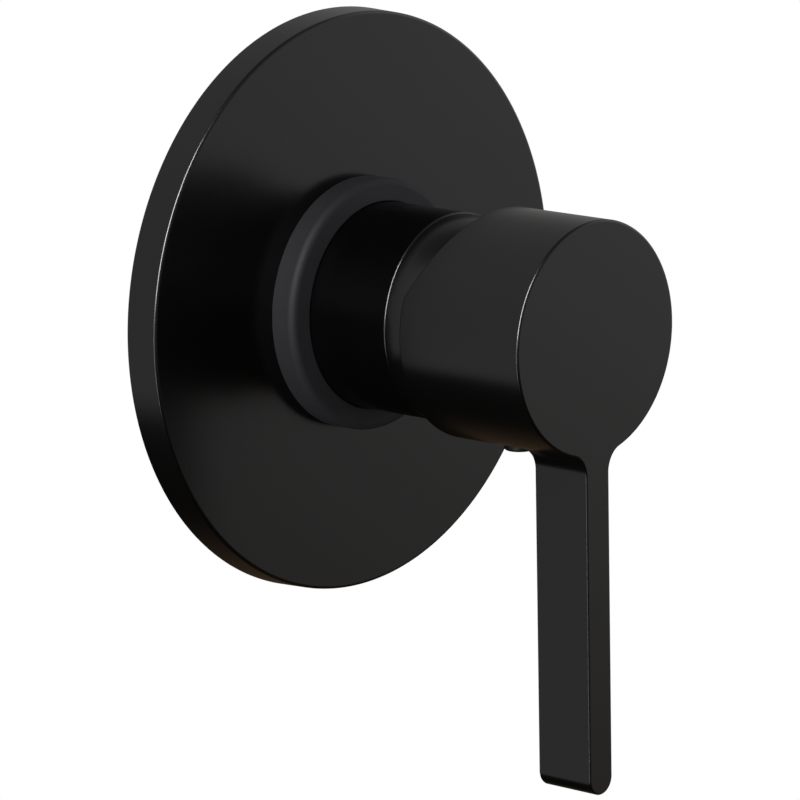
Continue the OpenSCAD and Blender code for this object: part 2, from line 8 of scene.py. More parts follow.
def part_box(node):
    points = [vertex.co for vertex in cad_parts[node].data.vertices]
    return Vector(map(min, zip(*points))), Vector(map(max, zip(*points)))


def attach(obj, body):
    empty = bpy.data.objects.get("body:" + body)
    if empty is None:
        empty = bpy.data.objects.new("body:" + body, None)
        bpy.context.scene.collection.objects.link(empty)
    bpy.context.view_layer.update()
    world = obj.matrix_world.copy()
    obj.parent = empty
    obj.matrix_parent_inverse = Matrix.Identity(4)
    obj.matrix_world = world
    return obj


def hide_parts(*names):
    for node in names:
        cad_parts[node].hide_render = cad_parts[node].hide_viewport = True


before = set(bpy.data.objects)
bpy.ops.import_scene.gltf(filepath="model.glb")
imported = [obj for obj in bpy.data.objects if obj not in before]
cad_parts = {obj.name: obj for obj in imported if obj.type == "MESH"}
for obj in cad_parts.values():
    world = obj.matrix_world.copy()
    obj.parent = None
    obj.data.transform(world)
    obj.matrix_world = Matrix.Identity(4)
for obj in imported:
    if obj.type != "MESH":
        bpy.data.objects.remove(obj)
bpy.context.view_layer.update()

mm = 0.001
armAt = 14.0  # mm behind the wall, where the axes of the valve body's four arms lie
outOfWall = Matrix.Rotation(math.radians(90), 4, "X")  # a form drawn along +Z now stands out of the wall
print("frame loaded")


# Small helpers

def linearColour(code):  # an sRGB hex colour as linear light
    parts = [int(code[i:i + 2], 16) / 255 for i in (1, 3, 5)]
    return [p / 12.92 if p <= 0.04045 else ((p + 0.055) / 1.055) ** 2.4 for p in parts] + [1]


def addNode(tree, kind, sockets=None, **settings):
    # a socket is given a value, another node's socket, or a node, which stands for its first output
    node = tree.nodes.new(kind)
    for key, value in settings.items():
        setattr(node, key, value)
    for key, value in (sockets or {}).items():
        source = value.outputs[0] if isinstance(value, bpy.types.Node) else value
        if isinstance(source, bpy.types.NodeSocket):
            tree.links.new(source, node.inputs[key])
        else:
            node.inputs[key].default_value = source
    return node


# Materials. The pattern called tone mixes a look's two colours, and the one named by roughBy spreads its
# roughness. A pattern is a noise: width of one blotch in mm, detail, roughness. The reliefs are patterns
# with their heights in mm, the lowest one first

noiseRange = (0.3, 0.7)  # where nearly all of a noise lies


def makeMaterial(name, look):
    material = bpy.data.materials.new(name)
    material.use_nodes = True
    tree = material.node_tree
    shader = tree.nodes["Principled BSDF"]
    shader.inputs["Metallic"].default_value = look.get("metallic", 0)
    shader.inputs["Specular IOR Level"].default_value = look.get("gloss", 0.5)
    point = addNode(tree, "ShaderNodeTexCoord").outputs["Object"]
    if "stretch" in look:
        point = addNode(tree, "ShaderNodeMapping", {"Vector": point, "Scale": look["stretch"]})
    made = {}
    for key, (size, detail, roughness) in look.get("patterns", {}).items():
        made[key] = addNode(tree, "ShaderNodeTexNoise", {
            "Vector": point, "Scale": 1 / (size * mm), "Detail": detail, "Roughness": roughness})
    if "cells" in look:
        cells = addNode(tree, "ShaderNodeTexVoronoi", {"Vector": point, "Scale": 1 / (look["cells"] * mm)})
        made["tone"] = addNode(tree, "ShaderNodeMapRange", {"Value": cells, "From Max": look["cellWall"]})
    if "rings" in look:  # at scale 1 they would lie pi / 10 apart
        centred = addNode(tree, "ShaderNodeMapping", {
            "Vector": point, "Location": [-c * mm for c in look["centre"]]})
        rings = addNode(tree, "ShaderNodeTexWave", {
            "Vector": centred, "Scale": math.pi / (10 * look["rings"] * mm), "Distortion": look["wander"][0],
            "Detail": look["wander"][1], "Detail Scale": look["wander"][2]},
            wave_type="RINGS", rings_direction=look["axis"])
        made["rings"] = rings.outputs["Fac"]
    first, second = (linearColour(code) for code in look["colour"])
    mixed = addNode(tree, "ShaderNodeMix", {"Factor": made["tone"], 6: first, 7: second}, data_type="RGBA")
    tree.links.new(mixed.outputs[2], shader.inputs["Base Color"])
    if "roughBy" in look:
        spread = addNode(tree, "ShaderNodeMapRange", {
            "Value": made[look["roughBy"]], "From Min": noiseRange[0], "From Max": noiseRange[1],
            "To Min": look["roughness"][0], "To Max": look["roughness"][1]})
        tree.links.new(spread.outputs[0], shader.inputs["Roughness"])
    else:
        shader.inputs["Roughness"].default_value = look["roughness"]
    normal = None
    if "soft" in look:
        normal = addNode(tree, "ShaderNodeBevel", {"Radius": look["soft"] * mm}, samples=6)
    for key, height in look.get("relief", ()):
        sockets = {"Height": made[key], "Distance": height * mm}
        if normal:
            sockets["Normal"] = normal
        normal = addNode(tree, "ShaderNodeBump", sockets)
    if normal:
        tree.links.new(normal.outputs[0], shader.inputs["Normal"])
    return material


coatLook = {  # polyester powder baked on metal: even, satin, with a faint orange peel
    "colour": ("#0c0c0c", "#0e0e0e"),
    "roughBy": "grain", "roughness": (0.2, 0.25),
    "gloss": 0.5,                              # specular level of a plain polyester binder
    "patterns": {
        "tone": (9.0, 2.0, 0.5),
        "peel": (1.6, 1.0, 0.5),               # the waves left when the powder flows out
        "grain": (0.22, 2.0, 0.6)},            # drawn coarser than the powder's own 0.04 so that it shows
    "relief": (("peel", 0.0035), ("grain", 0.0009)),
}
coatLookShaded = {  # the same coat with far less gloss, so that the tube looks darker: painted shade for the shade it lies in between the plate and the lever's head
    **coatLook, "gloss": 0.09,
}
rubberLook = {  # EPDM from a textured mould: a soft bluish grey with no clear reflections
    "colour": ("#3b3b3f", "#404045"),
    "roughBy": "grain", "roughness": (0.56, 0.68), "gloss": 0.13,
    "patterns": {
        "tone": (5.0, 3.0, 0.5),
        "grain": (0.18, 3.0, 0.6)},            # the mould's spark-eroded skin, drawn a little coarse
    "relief": (("grain", 0.004),),
}
ringLook = {  # nitrile sealing rings: black, smooth and slightly oily
    "colour": ("#121212", "#191919"),
    "roughBy": "tone", "roughness": (0.3, 0.46), "gloss": 0.5,
    "patterns": {"tone": (1.2, 3.0, 0.5)},
}
foamLook = {  # closed-cell foam: dark grey with burst cells on its cut faces
    "colour": ("#1c1c1d", "#3a3a3b"),
    "roughness": 0.92, "gloss": 0.2,
    "cells": 0.7, "cellWall": 0.7,             # mm across, and how far out a cell's wall begins
    "relief": (("tone", 0.12),),
}
castLook = {  # brass, sand-cast and shot-blasted: dull yellow, pitted, a little tarnished
    "colour": ("#b0986a", "#c6ad7c"), "metallic": 1,
    "roughBy": "tone", "roughness": (0.38, 0.56),
    "patterns": {"tone": (14.0, 4.0, 0.6), "skin": (0.55, 3.0, 0.6)},
    "relief": (("skin", 0.03),),
    "soft": 1.2,                               # mm, where the cast forms melt into each other
}
turnedLook = {  # brass cut on a lathe: bright, with fine rings round the axis
    "colour": ("#d0b47c", "#dec38c"), "metallic": 1,
    "roughBy": "tone", "roughness": (0.2, 0.32),
    "patterns": {"tone": (8.0, 3.0, 0.5)},
    "rings": 1.0053,                           # mm apart, coarser than the tool's 0.15 so that they show
    "wander": (0.6, 2.0, 3.0),                 # how far they stray, its detail and the detail's scale
    "relief": (("rings", 0.002),),
}
steelLook = {  # drawn stainless bar, ground: cool grey with a fine grain along the wall's normal
    "colour": ("#9da0a3", "#b4b7ba"), "metallic": 1,
    "roughBy": "tone", "roughness": (0.24, 0.36),
    "patterns": {"tone": (0.12, 3.0, 0.5)}, "stretch": (1.0, 0.06, 1.0),
    "relief": (("tone", 0.003),),
}
acetalLook = {  # injection moulded: waxy and faintly cloudy
    "colour": ("#cfcdc2", "#dedcd2"),
    "roughBy": "grain", "roughness": (0.36, 0.48), "gloss": 0.46,
    "patterns": {"tone": (6.0, 2.0, 0.5), "grain": (0.3, 3.0, 0.5)},
}
plugLook = {  # ABS moulded in black: as dark as the coat, a little flatter
    "colour": ("#151514", "#1a1a19"),
    "roughBy": "tone", "roughness": (0.46, 0.54), "gloss": 0.2,
    "patterns": {"tone": (0.2, 2.0, 0.5)},
    "relief": (("tone", 0.002),),
}
aluminaLook = {  # fired and lapped: ivory, smooth, with faint grey specks
    "colour": ("#cfccc1", "#efece3"),
    "roughBy": "tone", "roughness": (0.14, 0.24), "gloss": 0.7,
    "patterns": {"tone": (0.4, 3.0, 0.7)},
}
fibreLook = {  # pressed cotton fibre: brick red, dry, with short fibres
    "colour": ("#6b2c1e", "#8f4230"),
    "roughBy": "tone", "roughness": (0.62, 0.8), "gloss": 0.3,
    "patterns": {"tone": (0.5, 4.0, 0.7)}, "stretch": (1.0, 1.0, 6.0),
    "relief": (("tone", 0.02),),
}

coat = makeMaterial("satinPowderCoat", coatLook)
# a less glossy copy of the coat: painted shade on the sleeve
coatShaded = makeMaterial("satinPowderCoatShaded", coatLookShaded)
collarRubber = makeMaterial("mouldedRubber", rubberLook)
blackRubber = makeMaterial("ringRubber", ringLook)
foam = makeMaterial("cellFoam", foamLook)
rawBrass = makeMaterial("castBrass", castLook)
frontBrass = makeMaterial("turnedBrassFront", {**turnedLook, "axis": "Y", "centre": (0, 0, 0)})
inletBrass = makeMaterial("turnedBrassInlets", {**turnedLook, "axis": "X", "centre": (0, armAt, 0)})
outletBrass = makeMaterial("turnedBrassOutlets", {**turnedLook, "axis": "Z", "centre": (0, armAt, 0)})
steel = makeMaterial("stainlessSteel", steelLook)
whiteAcetal = makeMaterial("whiteAcetal", acetalLook)
greyAcetal = makeMaterial("greyAcetal", {**acetalLook, "colour": ("#a9aca5", "#b9bcb5")})
redAcetal = makeMaterial("redAcetal", {**acetalLook, "colour": ("#96281c", "#ab3426")})
plugPlastic = makeMaterial("mouldedPlug", plugLook)
alumina = makeMaterial("lappedAlumina", aluminaLook)
fibre = makeMaterial("vulcanFibre", fibreLook)
print("materials made")


# Turned forms: an outline of corners, each with its own edge radius, spun by a node tree

def roundCorners(corners, steps=6, hold=0.05):
    # corners are (distance from axis, height, edge radius) in mm; the hold points keep the flats flat
    points = []
    for i, (x, y, r) in enumerate(corners):
        corner = Vector((x, y))
        back = (Vector(corners[i - 1][:2]) - corner).normalized()
        on = (Vector(corners[(i + 1) % len(corners)][:2]) - corner).normalized()
        if not r:
            points.append(corner)
            continue
        half = math.acos(max(-1, min(1, back.dot(on)))) / 2
        reach = r / math.tan(half)
        centre = corner + (back + on).normalized() * (r / math.sin(half))
        first, last = corner + back * reach - centre, corner + on * reach - centre
        turn = math.atan2(first.x * last.y - first.y * last.x, first.dot(last))
        points.append(centre + first + back * hold)
        for k in range(steps + 1):
            c, s = math.cos(turn * k / steps), math.sin(turn * k / steps)
            points.append(centre + Vector((first.x * c - first.y * s, first.x * s + first.y * c)))
        points.append(centre + last + on * hold)
    return points


def arcPoints(centre, r, start, end, steps):  # angles in degrees
    angles = [math.radians(start + (end - start) * k / steps) for k in range(steps + 1)]
    return [Vector((centre[0] + r * math.cos(a), centre[1] + r * math.sin(a))) for a in angles]


def buildTurnTree():  # sweeps the outline round a circle, which makes a turned form
    tree = bpy.data.node_groups.new("turnedForm", "GeometryNodeTree")
    face = tree.interface
    face.new_socket("Geometry", in_out="INPUT", socket_type="NodeSocketGeometry")
    face.new_socket("Steps", in_out="INPUT", socket_type="NodeSocketInt")
    face.new_socket("Circle radius", in_out="INPUT", socket_type="NodeSocketFloat")
    face.new_socket("Finish", in_out="INPUT", socket_type="NodeSocketMaterial")
    face.new_socket("Geometry", in_out="OUTPUT", socket_type="NodeSocketGeometry")
    given = addNode(tree, "NodeGroupInput").outputs
    circle = addNode(tree, "GeometryNodeCurvePrimitiveCircle", {
        "Resolution": given["Steps"], "Radius": given["Circle radius"]})
    outline = addNode(tree, "GeometryNodeMeshToCurve", {"Mesh": given["Geometry"]})
    swept = addNode(tree, "GeometryNodeCurveToMesh", {"Curve": circle, "Profile Curve": outline})
    merged = addNode(tree, "GeometryNodeMergeByDistance", {"Geometry": swept, "Distance": 1e-6})
    real = addNode(tree, "GeometryNodeRealizeInstances", {"Geometry": merged})
    painted = addNode(tree, "GeometryNodeSetMaterial", {"Geometry": real, "Material": given["Finish"]})
    addNode(tree, "NodeGroupOutput", {"Geometry": painted})
    return tree


turnTree = buildTurnTree()
circleRadius = 10 * mm  # of the path that the outline is swept round; the form doesn't depend on it


def setInputs(modifier, values):  # by the socket's identifier
    for item in modifier.node_group.interface.items_tree:
        if item.item_type == "SOCKET" and item.in_out == "INPUT" and item.name in values:
            modifier[item.identifier] = values[item.name]


def plainMesh(piece):  # the evaluated form as a mesh of its own, with every modifier gone
    bpy.context.view_layer.update()
    made = bpy.data.meshes.new_from_object(piece.evaluated_get(bpy.context.evaluated_depsgraph_get()))
    piece.modifiers.clear()
    piece.data = made
    return piece


def tidyMesh(mesh, sharpAngle=35):  # one skin, faces outward, smooth but for its true edges
    work = bmesh.new()
    work.from_mesh(mesh)
    bmesh.ops.remove_doubles(work, verts=work.verts, dist=2e-7)
    bmesh.ops.dissolve_degenerate(work, edges=work.edges, dist=1e-8)
    bmesh.ops.recalc_face_normals(work, faces=work.faces)
    work.to_mesh(mesh)
    work.free()
    mesh.shade_smooth()
    mesh.set_sharp_from_angle(angle=math.radians(sharpAngle))


def newPiece(name, mesh):
    piece = bpy.data.objects.new(name, mesh)
    bpy.context.scene.collection.objects.link(piece)
    return piece


def makeTurned(name, outline, finish, place=outOfWall, steps=224):
    mesh = bpy.data.meshes.new(name)
    points = [(p[0] * mm - circleRadius, -p[1] * mm, 0) for p in outline]
    mesh.from_pydata(points, [(i, (i + 1) % len(points)) for i in range(len(points))], [])
    piece = newPiece(name, mesh)
    modifier = piece.modifiers.new("turned", "NODES")
    modifier.node_group = turnTree
    setInputs(modifier, {"Steps": steps, "Circle radius": circleRadius, "Finish": finish})
    plainMesh(piece)
    piece.data.transform(place)
    tidyMesh(piece.data)
    return piece


def settle(piece, body, slot, *nodes):
    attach(piece, body)
    if nodes:
        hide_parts(*nodes)


# Cover plate, collar, sleeve and domed cap

sleeveSizes = {
    "radius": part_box("sleeve")[1].x / mm,
    "front": -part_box("sleeve")[0].y / mm,
    "back": -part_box("sleeve")[1].y / mm,
    "wall": 0.8, "edge": 0.38, "lead": 0.25, "small": 0.15,
}
sleeveR = sleeveSizes["radius"]

plateSizes = {
    "radius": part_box("wall_plate")[1].x / mm,
    "height": -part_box("wall_plate")[0].y / mm,
    "hole": sleeveR + 1.8,
    "draft": 0.3, "wall": 1.6, "edge": 0.6, "inner": 0.4, "small": 0.12,
}


def coverPlate():
    s = plateSizes
    face = s["radius"] - s["draft"]
    back = s["height"] - s["wall"]
    outline = roundCorners([
        (s["radius"], 0, s["small"]), (face, s["height"], s["edge"]),
        (s["hole"], s["height"], s["small"]), (s["hole"], back, s["small"]),
        (face - s["wall"], back, s["inner"]), (s["radius"] - s["wall"], 0, s["small"])])
    piece = makeTurned("coverPlate", outline, coat, steps=320)
    settle(piece, "valve", "black_coat", "wall_plate")


collarSizes = {
    "radius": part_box("collar_ring")[1].x / mm,
    "inner": sleeveR + 0.05,               # just clear of the sleeve
    "neck": plateSizes["hole"] - 0.05,     # and of the plate's hole
    "flangeR": plateSizes["hole"] + 0.95,  # which its flange reaches past
    "face": 13.0, "crown": 0.7, "edge": 1.7, "lip": 0.3,
    "flangeT": 1.2, "flangeEdge": 0.3, "rootEdge": 0.1, "small": 0.15,
}


def rubberCollar():
    s = collarSizes
    seat = plateSizes["height"]
    back = seat - plateSizes["wall"]
    outline = roundCorners([
        (s["inner"], back - s["flangeT"], s["small"]), (s["flangeR"], back - s["flangeT"], s["flangeEdge"]),
        (s["flangeR"], back, s["rootEdge"]), (s["neck"], back, 0), (s["neck"], seat, 0),
        (s["radius"], seat, s["small"]), (s["radius"], s["face"], s["edge"]),
        (s["inner"], s["face"] + s["crown"], s["lip"])], steps=10)
    piece = makeTurned("rubberCollar", outline, collarRubber, steps=256)
    settle(piece, "valve", "soft_rubber", "collar_ring")


def barrelSleeve():
    s = sleeveSizes
    bore = s["radius"] - s["wall"]
    outline = roundCorners([
        (bore, s["back"], s["lead"]), (s["radius"], s["back"], s["small"]),
        (s["radius"], s["front"], s["edge"]), (bore, s["front"], 0)])
    piece = makeTurned("barrelSleeve", outline, coatShaded)
    piece.data.materials.append(coat)  # the front edge keeps the full coat, so that its thin light line shows; the rest of the tube has the painted shade
    for face in piece.data.polygons:
        if face.center.y < (s["edge"] - s["front"]) * mm:
            face.material_index = 1
    settle(piece, "valve", "black_coat", "sleeve")


domeSizes = {
    "pivot": sleeveSizes["front"],
    "radius": sleeveR - 0.25,
    "rise": -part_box("dome_cap")[0].y / mm - sleeveSizes["front"],
    "skirt": sleeveR - sleeveSizes["wall"] - 0.05,
    "low": -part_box("dome_cap")[1].y / mm,
    "hole": 14.5, "wall": 2.0, "thread": 18.55, "cavity": 17.35, "threadEnd": 37.2, "threadLead": 0.6,
    "ledge": 1.0, "holeEdges": (0.3, 0.2),  # the ledge lies behind the front wall
    "flatFrom": 0.5, "arcSteps": 28,        # the arc stops that many degrees before the flat front
}


def domedCap():
    s = domeSizes
    front = s["pivot"] + s["rise"]
    end = math.degrees(math.asin(s["rise"] / s["radius"]))
    dome = arcPoints((0, s["pivot"]), s["radius"], 0, end - s["flatFrom"], s["arcSteps"])
    outer, inner = s["holeEdges"]
    rest = roundCorners([
        (dome[-1].x, front, 0.0), (s["hole"], front, outer), (s["hole"], front - s["wall"], inner),
        (s["cavity"], front - s["wall"] - s["ledge"], 0), (s["cavity"], s["threadEnd"] + s["threadLead"], 0),
        (s["thread"], s["threadEnd"], 0), (s["thread"], s["low"], 0), (s["skirt"], s["low"], 0),
        (s["skirt"], s["pivot"], 0)])
    piece = makeTurned("domedCap", dome + rest, coat)
    settle(piece, "valve", "black_coat", "dome_cap")


# Lever: one skin of rings, each station of which knows its place on the head and on the outline

leverSizes = {
    "headR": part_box("lever_handle")[1].x / mm,
    "rear": -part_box("lever_handle")[1].y / mm,
    "front": -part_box("lever_handle")[0].y / mm,
    "reach": -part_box("lever_handle")[0].z / mm,
    "boreR": sleeveR + 0.2, "face": 4.0,        # the bore clears the sleeve, and the face's thickness
    "reliefAt": 7.9, "reliefAngle": 24.0, "reliefBlend": 0.25,
    "half": 3.45, "bladeDepth": 13.6, "fillet": 5.0, "root": 1.6,
    "rim": 0.5, "bladeEdge": 0.34, "rearEdge": 0.22,
    "bossR": 8.0, "bossRear": 47.2, "web": 9.0, "webSink": 0.8, "sink": 0.5,
    "socket": 8.1, "socketEnd": 58.5,
    "screwAt": 50.7, "screwFrom": 2.0, "screwR": 2.55, "plugR": 3.25, "plugDepth": 2.6,
    "past": 3.0, "socketPast": 1.0,             # how far a cutting form reaches past the skin
    "roundSteps": 287, "filletSteps": 16, "sideSteps": 12, "endSteps": 12,   # stations round the outline
    "rimSteps": 6, "rootSteps": 8, "rearSteps": 5,                           # rows over each rounding
    "faceRows": (0.3, 0.6, 0.85), "boreRows": (0.96, 0.6, 0.3),              # as shares of the radius
    "hold": 0.06, "boreHold": 0.4,              # rows beside a rounding that keep the flats flat
    "insetGrows": 0.35, "footGrows": 0.45,      # how soon the blade's rear edge and root reach full size
    "rimGrows": 2.0,                            # mm past the head, where the rim is the blade's
    "rowGap": 0.001,                            # keeps the root's rows apart where the head has no blade
    "insetPast": 1.1,                           # where the row beside the rear edge lies, in insets
}


def leverStations():  # (place on the outline, its outward normal) all round, seen from the front
    s = leverSizes
    x = s["half"] + s["fillet"]
    z = -math.sqrt((s["headR"] + s["fillet"]) ** 2 - x * x)
    start = math.degrees(math.atan2(z, x))
    tip = s["half"] - s["reach"]
    stations = []
    for k in range(1, s["roundSteps"]):  # the head's round, from the right fillet over the top to the left
        a = math.radians(start + (180 - 2 * start) * k / s["roundSteps"])
        out = Vector((math.cos(a), math.sin(a)))
        stations.append((out * s["headR"], out))
    side = []
    for k in range(s["filletSteps"] + 1):  # the hollow fillet
        a = math.radians(180 + start - start * k / s["filletSteps"])
        inward = Vector((math.cos(a), math.sin(a)))
        side.append((Vector((x, z)) + inward * s["fillet"], -inward))
    for k in range(1, s["sideSteps"]):  # the straight side
        side.append((Vector((s["half"], z + (tip - z) * k / s["sideSteps"])), Vector((1, 0))))
    for k in range(s["endSteps"] + 1):  # half of the round end
        a = math.radians(-90 * k / s["endSteps"])
        out = Vector((math.cos(a), math.sin(a)))
        side.append((Vector((0, tip)) + out * s["half"], out))
    mirrored = [(Vector((-p.x, p.y)), Vector((-n.x, n.y))) for p, n in side]
    return stations + mirrored + side[-2::-1]


def stationPath(point, normal):
    # one station's way from the middle of the face, over the outside, to the middle of the bore's end
    s = leverSizes
    hold = s["hold"]
    out = point.normalized()
    beyond = point.length - s["headR"]
    path = []

    def add(place, height):
        path.append(Vector((place.x, place.y, height)))

    for share in s["faceRows"]:
        add(out * s["headR"] * share, s["front"])
    blade = min(1.0, max(0.0, beyond) / s["rimGrows"])
    rim = s["rim"] + (s["bladeEdge"] - s["rim"]) * blade
    add(point - normal * (rim + hold), s["front"])
    for k in range(s["rimSteps"] + 1):
        a = math.radians(90 - 90 * k / s["rimSteps"])
        add(point - normal * (rim * (1 - math.cos(a))), s["front"] - rim * (1 - math.sin(a)))
    add(point, s["front"] - rim - hold)
    edge, root, rear = s["bladeEdge"], s["root"], s["front"] - s["bladeDepth"]
    inset = min(1.0, s["insetGrows"] * beyond / edge) * edge if beyond > 1e-6 else 0
    foot = min(1.0, s["footGrows"] * beyond / root) * root if beyond > 1e-6 else 0
    add(point, rear + edge + hold)
    for k in range(s["rimSteps"] + 1):
        a = math.radians(90 * k / s["rimSteps"])
        add(point - normal * (inset * (1 - math.cos(a))), rear + edge * (1 - math.sin(a)))
    add(point - normal * inset * s["insetPast"], rear)
    for k in range(s["rootSteps"] + 1):
        a = math.radians(90 * k / s["rootSteps"])
        add(out * (s["headR"] + foot * (1 - math.sin(a))), rear - root * (1 - math.cos(a)) - s["rowGap"] * k)
    add(out * s["headR"], rear - root - hold)
    tilt = math.tan(math.radians(s["reliefAngle"]))

    def rearAt(place):  # the rear edge, which the relief slants over the upper part
        u = place.y - s["reliefAt"]
        return s["rear"] + tilt * (math.sqrt(u * u + s["reliefBlend"] ** 2) + u) / 2

    e = s["rearEdge"]
    for r, way in ((s["headR"], -1), (s["boreR"], 1)):
        ring = []
        for k in range(s["rearSteps"] + 1):
            a = math.radians(90 * k / s["rearSteps"])
            place = out * (r + way * e * (1 - math.cos(a)))
            ring.append((place, rearAt(place) + e * (1 - math.sin(a))))
        holdPlace = out * r
        ring.insert(0, (holdPlace, rearAt(holdPlace) + e + hold))
        inner = out * (r + way * (e + hold))
        ring.append((inner, rearAt(inner)))
        for place, height in (ring if way < 0 else reversed(ring)):
            add(place, height)
    end = s["front"] - s["face"]
    add(out * s["boreR"], end - s["boreHold"])
    add(out * s["boreR"], end)
    for share in s["boreRows"]:
        add(out * s["boreR"] * share, end)
    return path


def boxMesh(name, low, high):
    mesh = bpy.data.meshes.new(name)
    corners = [(x, y, z) for x in (low[0], high[0]) for y in (low[1], high[1]) for z in (low[2], high[2])]
    faces = [(0, 1, 3, 2), (4, 6, 7, 5), (0, 4, 5, 1), (2, 3, 7, 6), (0, 2, 6, 4), (1, 5, 7, 3)]
    mesh.from_pydata([tuple(c * mm for c in p) for p in corners], [], faces)
    mesh.update()
    return mesh


def rodMesh(name, radius, low, high, place, segments=64):  # a rod along Z, then placed
    work = bmesh.new()
    bmesh.ops.create_cone(work, cap_ends=True, segments=segments, radius1=radius * mm, radius2=radius * mm,
        depth=(high - low) * mm, matrix=place @ Matrix.Translation((0, 0, (low + high) / 2 * mm)))
    mesh = bpy.data.meshes.new(name)
    work.to_mesh(mesh)
    work.free()
    return mesh


def combine(piece, meshes, operation):  # joins or cuts with several plain forms, one after another
    tools = []
    for mesh in meshes:
        tool = newPiece(mesh.name, mesh)
        tools.append(tool)
        modifier = piece.modifiers.new(mesh.name, "BOOLEAN")
        modifier.operation, modifier.object, modifier.solver = operation, tool, "EXACT"
    plainMesh(piece)
    for tool in tools:
        bpy.data.objects.remove(tool)
    return piece


downward = Matrix.Rotation(math.radians(180), 4, "X")  # a form drawn along +Z now points down


def leverHandle():
    s = leverSizes
    stations = leverStations()
    paths = [stationPath(point, normal) for point, normal in stations]
    count, rows = len(paths), len(paths[0])
    points = [p for path in paths for p in path]
    middle, inside = len(points), len(points) + 1
    points += [Vector((0, 0, s["front"])), Vector((0, 0, s["front"] - s["face"]))]
    faces = []
    for i in range(count):
        j = (i + 1) % count
        faces.append((middle, i * rows, j * rows))
        faces.append((inside, j * rows + rows - 1, i * rows + rows - 1))
        for k in range(rows - 1):
            faces.append((i * rows + k, i * rows + k + 1, j * rows + k + 1, j * rows + k))
    mesh = bpy.data.meshes.new("leverHandle")
    mesh.from_pydata([p * mm for p in points], [], faces)
    mesh.transform(outOfWall)
    mesh.materials.append(coat)
    tidyMesh(mesh)
    piece = newPiece("leverHandle", mesh)
    end = s["front"] - s["face"] + s["sink"]
    boss = rodMesh("boss", s["bossR"], s["bossRear"], end, outOfWall)
    half, low = s["web"] / 2, -s["boreR"] - s["webSink"]
    web = boxMesh("web", (-half, -end, low), (half, -s["bossRear"], 0))
    combine(piece, [boss, web], "UNION")
    half, mouth, top = s["socket"] / 2, s["socketPast"] - s["bossRear"], s["headR"] + s["past"]
    socket = boxMesh("socket", (-half, -s["socketEnd"], -half), (half, mouth, half))
    atScrew = Matrix.Translation((0, -s["screwAt"] * mm, 0)) @ downward
    thread = rodMesh("thread", s["screwR"], s["screwFrom"], top, atScrew, 48)
    pocket = rodMesh("pocket", s["plugR"], s["headR"] - s["plugDepth"], top, atScrew)
    combine(piece, [socket, thread, pocket], "DIFFERENCE")
    tidyMesh(piece.data)
    settle(piece, "lever", "black_coat", "lever_handle")


plugSizes = {
    "radius": 3.2, "depth": 2.6, "proud": 1.25, "lowEdge": 0.2, "edge": 0.5,
    "dish": 0.15, "dishR": 1.6, "dishRim": 0.06, "dishEdge": 0.4,   # its shallow hollow, and the rim of that
}


def screwPlug():
    s = plugSizes
    low = leverSizes["headR"] - s["depth"]
    top = leverSizes["headR"] + s["proud"]
    outline = roundCorners([
        (0, low, 0), (s["radius"], low, s["lowEdge"]), (s["radius"], top, s["edge"]),
        (s["dishR"], top - s["dishRim"], s["dishEdge"]), (0, top - s["dish"], 0)])
    atScrew = Matrix.Translation((0, -leverSizes["screwAt"] * mm, 0)) @ downward
    piece = makeTurned("screwPlug", outline, plugPlastic, atScrew, 96)
    settle(piece, "lever", "black_plastic", "screw_plug")


# Valve body: cast, its ends and front turned, with real pipe threads in the four arms

bodySizes = {
    "back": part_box("mixer_body")[1].y / mm,
    "flangeR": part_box("mixer_body")[1].x / mm, "flangeT": 3.0,
    "barrelR": 20.3, "barrelFront": 32.0, "chamberR": 17.55, "floor": 4.0, "nutR": 18.55, "nutFrom": 27.9,
    "grooveR": 18.6, "grooves": (15.0, 6.0), "grooveW": 2.0,   # for the sleeve's two rings
    "armFrom": 2.0, "armR": 11.8, "armEdge": 0.8, "inletReach": 29.0, "outletReach": 32.0,
    "rootR": 10.45, "crestR": 9.34, "boreDepth": 11.0, "leadIn": 0.7,
    "pitch": 1.814, "turnSteps": 8,         # half-inch pipe thread, and the rows to each of its turns
    "lining": (0.3, 0.5, 0.2),              # how far it reaches into the wall, into the bore, and its margin
    "threadGap": 0.05,
    "wayR": 4.0,
    "inletWay": (6.61, -5.35, 2.4, 12.3),   # x, z, radius, and how far behind the wall
    "outletWay": (6.2, 3.2, 19.0),          # z, radius, and how far behind the wall
    "screwAt": 32.0, "screwR": 2.6,
    "indexAt": (11.0, 7.5), "indexR": 1.55, "indexDepth": 2.2,
    "seamT": 0.5, "seamProud": 0.22, "seamShort": 1.5,         # the casting's parting line
    "cutFrom": 17.9, "cutEdge": 0.35, "frontCut": 0.6,         # where the lathe's work starts
    "grooveEdge": 0.12, "floorEdge": 0.3, "mouthEdge": 0.4, "flangeRoot": 0.2, "flangeEdge": 0.5,
    "backRoot": 1.6, "backEdge": 1.8,
    "past": 1.0, "into": 0.5,               # how far a cut reaches past the skin, and into the next cut
}


threadSteps = (
    # what each step is called, its operation and its terms
    ("xx", "MULTIPLY", "x", "x"), ("yy", "MULTIPLY", "y", "y"),
    ("rr", "ADD", "xx", "yy"), ("radius", "SQRT", "rr"),
    ("angle", "ARCTAN2", "y", "x"), ("turn", "DIVIDE", "angle", 2 * math.pi),
    ("rise", "DIVIDE", "z", "pitch"), ("lead", "SUBTRACT", "rise", "turn"), ("phase", "FRACT", "lead"),
    ("offset", "SUBTRACT", "phase", 0.5), ("half", "ABSOLUTE", "offset"), ("ridge", "MULTIPLY", "half", 2.0),
    ("wanted", "MULTIPLY_ADD", "ridge", "depth", "crest"), ("scale", "DIVIDE", "wanted", "radius"),
    ("newX", "MULTIPLY", "x", "scale"), ("newY", "MULTIPLY", "y", "scale"),
)


